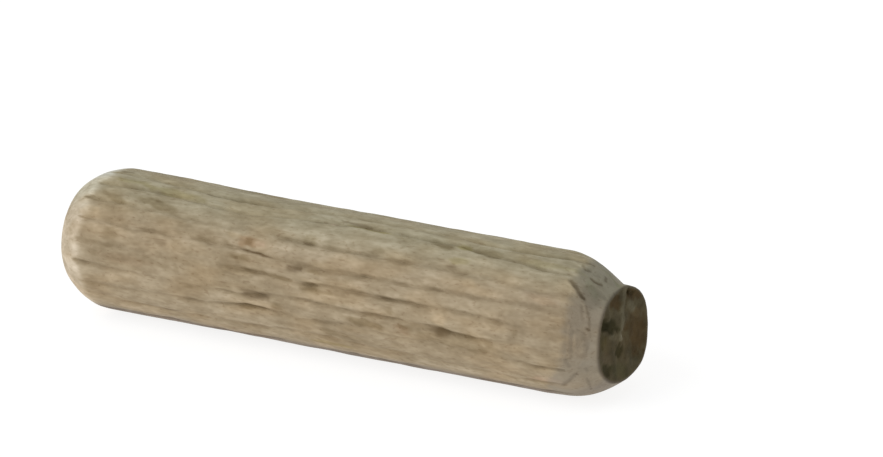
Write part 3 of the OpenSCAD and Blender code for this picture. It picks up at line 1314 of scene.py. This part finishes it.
@dataclass(frozen=True)
class PinRows:
    """Where the grid's rings lie, as depths below the end faces.

    Attributes:
        edge: First rings below either face, close together where its edge rounds.
        nose: First ring, end and step of the rings on the sawn end's nose.
        shoulder: The same, on its shoulder.
        rounded: The same, on the rounded end, from the barrel to its face.
        barrel: Number of rings between the two ends.
        face: Number of steps across the sawn face.
        far_face: Number of steps across the rounded end's face.
    """

    edge: tuple[float, ...] = (0.0, 0.02, 0.05, 0.09, 0.14, 0.20)
    nose: tuple[float, float, float] = (0.25, 2.45, 0.05)
    shoulder: tuple[float, float, float] = (2.5, 3.9, 0.10)
    rounded: tuple[float, float, float] = (2.6, 0.22, -0.09)
    barrel: int = 168
    face: int = 24
    far_face: int = 9

    def places(self, length: float) -> Array:
        """Places of the rings along the pin, from the sawn face to the rounded one.

        Args:
            length: Length of the pin over both end faces.

        Returns:
            The places, falling from half the length to minus half of it.
        """
        half = length / 2
        sawn = np.concatenate([self.edge, np.arange(*self.nose), np.arange(*self.shoulder)])
        rounded = np.concatenate([np.arange(*self.rounded), self.edge[::-1]])
        middle = np.linspace(half - sawn[-1], rounded[0] - half, self.barrel + 2)[1:-1]
        return np.concatenate([half - sawn, middle, rounded - half])


@dataclass(frozen=True)
class Shading:
    """Where the colours of whole stretches lie, and how strong they are, painted light and shade among
    them.

    Attributes:
        upper_middle: Angle round the pin at the middle of the upper side, which is painted lighter and
            cooler, as lit from above.
        upper_sides: How far a place faces it where that painted light starts, and where it is whole.
        flute: Strength of the flutes' darkening: partly painted shade in the grooves, partly the pressed
            wood's darker colour.
        above: Angles over which the painted shade on the crown's upper part comes and goes.
        nose_ends: Places along the pin between which the nose's shade comes.
        nose_sides: Degrees from the front where it starts to fade, and where it ends.
        under_sides: The same from the bottom, for the painted shade on the underside.
        under_crown: How much weaker the underside's shade is on the crown.
        under_rim: How much weaker it is on the rounded end's rim.
        edge_ends: Places along the pin between which the sawn edge's shade comes.
        rim_ends: Places along the pin between which the rim's paler colour and painted light come.
        rim_above: Angles over which the painted light on the rim's upper part comes and goes.
        crown_grain: How much of the grain the crown hides.
    """

    upper_middle: float = 105.0
    upper_sides: Span = (0.35, 0.95)
    flute: float = 0.6
    above: tuple[float, float, float, float] = (40.0, 65.0, 110.0, 150.0)
    nose_ends: Span = (16.3, 16.9)
    nose_sides: Span = (40.0, 100.0)
    under_sides: Span = (33.0, 49.0)
    under_crown: float = 0.6
    under_rim: float = 0.7
    edge_ends: Span = (17.33, 17.52)
    rim_ends: Span = (-14.6, -15.6)
    rim_above: tuple[float, float, float, float] = (72.0, 92.0, 120.0, 150.0)
    crown_grain: float = 0.6

    def at(self, x: Array, angle: Array, shares: dict[str, Array]) -> Array:
        """Colour at each point, as a share of the beech's own, with painted light and shade in it.

        The shades and the tones of the flecks and marks are multiplied into each other.

        Args:
            x: Places along the pin.
            angle: Angles round the pin in degrees.
            shares: What the wood is like there.

        Returns:
            Red, green and blue shares at each point, and how much of the grain shows.
        """
        crown, ragged = shares["crown"], shares["ragged"]
        color = np.ones(x.shape + (3,))
        # Painted light: the upper side lighter and cooler, as lit from above.
        color = tinted(color, Shade.UPPER_SIDE_PAINTED_LIGHT, facing(angle, self.upper_middle, *self.upper_sides))
        # Partly painted shade in the flutes' grooves, partly the pressed wood's darker colour there.
        color = tinted(color, Shade.FLUTE, self.flute * shares["flute"])
        for fleck in FLECKS:
            color = tinted(color, fleck.tone, fleck.strength * fleck.mask(x, angle, ragged))
        nose = smooth_step(*self.nose_ends, x) * beside(angle, FRONT, *self.nose_sides)
        under = (1 - self.under_crown * crown) * (1 - self.under_rim * shares["rim"])
        color = tinted(color, Shade.CROWN, crown)
        # Painted shade on the crown's upper back, turned away from the light.
        color = tinted(color, Shade.CROWN_ABOVE_PAINTED_SHADE, crown * between(angle, *self.above))
        color = tinted(color, Shade.NOSE, crown * (1 - shares["torn"]) * nose)
        # Painted shade on the underside, where it turns towards the floor.
        color = tinted(color, Shade.UNDERSIDE_PAINTED_SHADE, under * beside(angle, BOTTOM, *self.under_sides))
        color = tinted(color, Shade.SAWN_EDGE, smooth_step(*self.edge_ends, x))
        # The dark marks carry painted shadow in the crown's creases and steps, and the pale ones carry
        # painted highlight on the ridges beside them.
        for mark in CROWN_MARKS:
            color = tinted(color, mark.tone, mark.strength * mark.mask(x, angle, ragged, CROWN_ARC))
        rim = shares["rim"] * smooth_step(*self.rim_ends, x)
        # The rim's paler wood, and painted light falling on it from the left and behind.
        color = tinted(color, Shade.RIM, rim)
        # Painted light on the rim's upper part.
        color = tinted(color, Shade.RIM_ABOVE_PAINTED_LIGHT, rim * between(angle, *self.rim_above))
        grain = 1.0 - self.crown_grain * crown
        return np.concatenate([color, grain[..., None]], -1)


@dataclass(frozen=True)
class DowelPin:
    """The pin: a fluted barrel between a sawn end and a rounded end, all in millimetres.

    Attributes:
        length: Length over both end faces.
        radius: Radius over the lands.
        flutes: Number of flutes.
        columns_per_flute: Number of the grid's columns for each flute.
        crowding: How much closer together they are at a flute than on a land.
        barrel_inset: How far the barrel's mean surface lies inside the full radius.
        skin_inset: How far every point stays inside it.
        crown_outset: How far outside it the crowns would meet the barrel.
        blend: Distance over which the barrel and the crowns round into each other.
        slimming: How much slimmer the barrel is on its upper back.
        slim_middle: Angle round the pin at which it is slimmest.
        slim_sides: How far a place faces it where the slimming starts, and where it is whole.
        slim_ends: Places along the pin between which the slimming comes.
        far_back: Angle round the pin at which the rounded end is cut back.
        far_back_sides: How far a place faces it where that starts, and where it is whole.
        far_back_share: How far it is cut back there, as a share of the depth.
        clear: Heights of a crown over the barrel between which the flutes' darkening comes, painted shade
            and darker wood.
        rim_edge: The same, between which the rim's paler colour and painted light come.
        land_edge: Distances past the lands' ends between which the crown's colour goes.
        land_fray: How far that edge is frayed.
        pole_depth: Depth of the sawn face's middle.
        far_color_ends: Shares of the rounded face's radius between which its rim's colour comes.
        ragged: Noise that frays edges of colour.
        sawn_unevenness: Unevenness of the sawn crown where it isn't torn.
        rounded_unevenness: Unevenness of the rounded crown.
        rows: Where the grid's rings lie.
        courses: The flutes.
        relief: The pressed wood between them.
        torn_wood: The relief of the torn facet.
        sawn: The sawn end's crown.
        face: The sawn face.
        rounded: The rounded end's crown.
        shading: Where the colours, and the painted light and shade, lie.
        finish: What the pin is made of.
    """

    length: float = round((CAD_HIGH[0] - CAD_LOW[0]) / MM, 3)
    radius: float = 4.0
    flutes: int = 20
    columns_per_flute: int = 16
    crowding: float = 0.4
    barrel_inset: float = 0.005
    skin_inset: float = 0.004
    crown_outset: float = 0.02
    blend: float = 0.05
    slimming: float = 0.11
    slim_middle: float = 110.0
    slim_sides: Span = (0.2, 1.0)
    slim_ends: Span = (-13.0, -4.0)
    far_back: float = 122.0
    far_back_sides: Span = (0.3, 1.0)
    far_back_share: float = 0.12
    clear: Span = (-0.02, 0.08)
    rim_edge: Span = (0.05, -0.08)
    land_edge: Span = (0.3, -0.25)
    land_fray: float = 0.15
    pole_depth: float = 0.1
    far_color_ends: Span = (0.55, 1.0)
    ragged: Ripple = Ripple(1.0, (0.45, 3.5), 31)
    sawn_unevenness: Ripple = Ripple(0.008, (0.6, 5.0), 44)
    rounded_unevenness: Ripple = Ripple(0.012, (0.7, 7.0), 45)
    rows: PinRows = PinRows()
    courses: FluteCourses = FluteCourses()
    relief: PressedRelief = PressedRelief()
    torn_wood: TornWood = TornWood()
    sawn: SawnCrown = SawnCrown()
    face: SawnFace = SawnFace()
    rounded: RoundedCrown = RoundedCrown()
    shading: Shading = Shading()
    finish: PressedBeech = PressedBeech()

    def columns(self) -> Array:
        """Angles of the grid's columns, closer together at each flute than on the lands.

        Within each flute's pitch the columns are even, less a sine wave that draws them
        towards the flute.

        Returns:
            The angles in degrees, from 0 upwards.
        """
        t = np.arange(self.columns_per_flute) / self.columns_per_flute
        eased = t - self.crowding * np.sin(2 * np.pi * t) / (2 * np.pi)
        pitch = 360.0 / self.flutes
        return (np.arange(self.flutes)[:, None] * pitch + eased[None, :] * pitch).ravel()

    def skin(self, x: Array, angle: Array) -> tuple[Array, dict[str, Array]]:
        """Radius of the pin's side, and what the wood is like there.

        The fluted barrel and the two crowns are each a radius, and the pin is the rounded
        minimum of them. The torn band adds its own coarse relief.

        Args:
            x: Places along the pin.
            angle: Angles round the pin in degrees.

        Returns:
            The radius at each point, and named shares from 0 to 1.
        """
        half = self.length / 2
        cut, share = self.courses.cut(x, angle, self.flutes, self.radius)
        slimmer = self.slimming * facing(angle, self.slim_middle, *self.slim_sides)
        slimmer = slimmer * smooth_step(*self.slim_ends, x)
        ragged = self.ragged.at(x, angle)
        barrel = self.radius - self.barrel_inset - slimmer - cut + self.relief.at(x, angle)
        for fleck in FLECKS:
            if fleck.sink:
                barrel = barrel - fleck.sink * fleck.mask(x, angle, ragged)
        depth = half - x
        sawn = self.sawn.radius(depth, angle, self.radius + self.crown_outset - slimmer)
        torn = self.sawn.torn(depth, angle)
        sawn = sawn + torn * self.torn_wood.at(x, angle, depth)
        sawn = sawn + (1 - torn) * self.sawn_unevenness.at(x, angle)
        for mark in CROWN_MARKS:
            sawn = sawn - mark.sink * mark.mask(x, angle, ragged, CROWN_ARC)
        back = facing(angle, self.far_back, *self.far_back_sides)
        far_depth = (x + half) * (1.0 - self.far_back_share * back)
        rounded = self.rounded.radius(far_depth, self.radius + self.crown_outset)
        rounded = rounded + self.rounded_unevenness.at(x, angle)
        radius = soft_min(soft_min(barrel, sawn, self.blend), rounded, self.blend)
        on_barrel = smooth_step(*self.clear, sawn - barrel) * smooth_step(*self.clear, rounded - barrel)
        past_land = depth - self.sawn.land_end.at(angle) + self.land_fray * ragged
        shares = {
            "flute": share * on_barrel,
            "crown": smooth_step(*self.land_edge, past_land),
            "torn": torn,
            "rim": smooth_step(*self.rim_edge, rounded - barrel),
            "ragged": ragged,
        }
        return np.minimum(radius, self.radius - self.skin_inset), shares

    def build(self) -> bpy.types.Object:
        """Makes the pin's mesh with its colour attribute, and gives it its material.

        The side's rings are closed by rings across both faces. The far face takes the colour
        of the last ring, which goes to that ring's mean towards the middle.

        Returns:
            The new object.
        """
        half = self.length / 2
        x, angle = np.meshgrid(self.rows.places(self.length), self.columns(), indexing="ij")
        r, shares = self.skin(x, angle)
        color = self.shading.at(x, angle, shares)

        share = np.linspace(0.0, 1.0, self.rows.face + 1)[1:-1, None]
        face_angle = np.repeat(angle[:1], share.shape[0], 0)
        face_r = share * r[:1]
        depth, face_color = self.face.at(face_r, face_angle, r[:1])
        far_share = np.linspace(1.0, 0.0, self.rows.far_face + 1)[1:-1, None]
        far_r = far_share * r[-1:]
        far_x = np.full_like(far_r, -half)
        mean = color[-1:].mean(1, keepdims=True)
        rim_share = smooth_step(*self.far_color_ends, far_share)[..., None]
        far_color = mean + (color[-1:] - mean) * rim_share

        x_all = np.vstack([half - depth, x, far_x])
        r_all = np.vstack([face_r, r, far_r])
        a_all = np.radians(np.vstack([face_angle, angle, angle[: far_r.shape[0]]]))
        verts = np.stack([x_all, -r_all * np.cos(a_all), r_all * np.sin(a_all)], -1) * MM
        colors = np.concatenate([face_color, color, far_color])
        poles = np.array([[half - self.pole_depth, 0, 0], [-half, 0, 0]]) * MM
        pole_colors = np.array([face_color[0].mean(0), far_color[-1].mean(0)])
        obj = grid_solid(NODE + "_beech", verts, colors, poles, pole_colors)
        obj.data.materials.append(self.finish.material())
        return obj


@dataclass(frozen=True)
class Studio:
    """The floor, the light and the camera.

    Attributes:
        azimuth: Angle that the camera stands round from straight in front, in degrees.
        elevation: Angle that it looks down, in degrees.
        roll: Angle that the camera is rolled, in degrees.
        distance: From the camera to the point that it aims at, in metres.
        aim: The point that it aims at, on the floor behind the pin.
        lens: Focal length in millimetres.
        sensor: Width of the sensor in millimetres.
        clip: Nearest and furthest distance that the camera sees.
        floor_size: Length of the floor's side in metres.
        floor_color: Grey of the floor.
        floor_roughness: Its roughness.
        floor_glow: How much light it gives by itself.
        world_strength: Strength of the white world.
        key_place: Where the lamp hangs.
        key_size: Length of its side in metres.
        key_watts: Its power.
    """

    azimuth: float = 34.05
    elevation: float = 21.39
    roll: float = -3.47
    distance: float = 0.566
    aim: tuple[float, float, float] = (-5.54 * MM, 17.24 * MM, -4.0 * MM)
    lens: float = 406.0
    sensor: float = 36.0
    clip: Span = (0.01, 10.0)
    floor_size: float = 4.0
    floor_color: float = 0.26
    floor_roughness: float = 0.9
    floor_glow: float = 0.83
    world_strength: float = 0.62
    key_place: tuple[float, float, float] = (-0.22, -0.38, 0.44)
    key_size: float = 0.45
    key_watts: float = 1.5

    def camera(self) -> None:
        """Makes the camera and gives it to the scene."""
        a, e = math.radians(self.azimuth), math.radians(self.elevation)
        forward = Vector((-math.sin(a) * math.cos(e), math.cos(a) * math.cos(e), -math.sin(e)))
        data = bpy.data.cameras.new("camera")
        data.lens, data.sensor_width = self.lens, self.sensor
        data.clip_start, data.clip_end = self.clip
        cam = bpy.data.objects.new("camera", data)
        bpy.context.scene.collection.objects.link(cam)
        turn = forward.to_track_quat("-Z", "Y").to_matrix().to_4x4()
        rolled = turn @ Matrix.Rotation(math.radians(self.roll), 4, "Z")
        cam.matrix_world = Matrix.Translation(Vector(self.aim) - forward * self.distance) @ rolled
        bpy.context.scene.camera = cam

    def floor(self, height: float) -> None:
        """Lays a pale floor that glows a little, so that its far edge meets the world.

        Args:
            height: Where the floor lies along Z.
        """
        s = self.floor_size / 2
        corners = [(-s, -s, height), (s, -s, height), (s, s, height), (-s, s, height)]
        mesh = bpy.data.meshes.new("studio_floor")
        mesh.from_pydata(corners, [], [(0, 1, 2, 3)])
        obj = bpy.data.objects.new("studio_floor", mesh)
        bpy.context.scene.collection.objects.link(obj)
        g = Graph("studio_floor")
        g.shader.inputs["Base Color"].default_value = (self.floor_color,) * 3 + (1.0,)
        g.shader.inputs["Roughness"].default_value = self.floor_roughness
        g.shader.inputs["Specular IOR Level"].default_value = 0.0
        g.shader.inputs["Emission Color"].default_value = (1.0, 1.0, 1.0, 1.0)
        g.shader.inputs["Emission Strength"].default_value = self.floor_glow
        mesh.materials.append(g.material)
        obj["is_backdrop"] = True

    def lamp(self) -> None:
        """Hangs a square soft lamp that looks at the pin."""
        data = bpy.data.lights.new("key", "AREA")
        data.shape, data.size, data.energy = "SQUARE", self.key_size, self.key_watts
        obj = bpy.data.objects.new("key", data)
        bpy.context.scene.collection.objects.link(obj)
        place = Vector(self.key_place)
        turn = (-place).to_track_quat("-Z", "Y").to_matrix().to_4x4()
        obj.matrix_world = Matrix.Translation(place) @ turn

    def world(self) -> None:
        """Makes the white world, and shows colours as they are."""
        world = bpy.data.worlds.new("studio")
        world.use_nodes = True
        background = world.node_tree.nodes["Background"]
        background.inputs["Color"].default_value = (1, 1, 1, 1)
        background.inputs["Strength"].default_value = self.world_strength
        bpy.context.scene.world = world
        bpy.context.scene.view_settings.view_transform = "Standard"


def main() -> None:
    """Builds the pin and the studio, and reports each piece."""
    logging.basicConfig(level=logging.INFO, format="%(name)s: %(message)s")
    pin = DowelPin().build()
    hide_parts(NODE)
    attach(pin, BODY)
    log.info("pin: %d faces", len(pin.data.polygons))
    low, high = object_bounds()
    studio = Studio()
    studio.camera()
    studio.floor(low[2])
    studio.world()
    studio.lamp()
    log.info("studio: floor at %.3f mm", low[2] / MM)


if __name__ == "__main__":
    main()
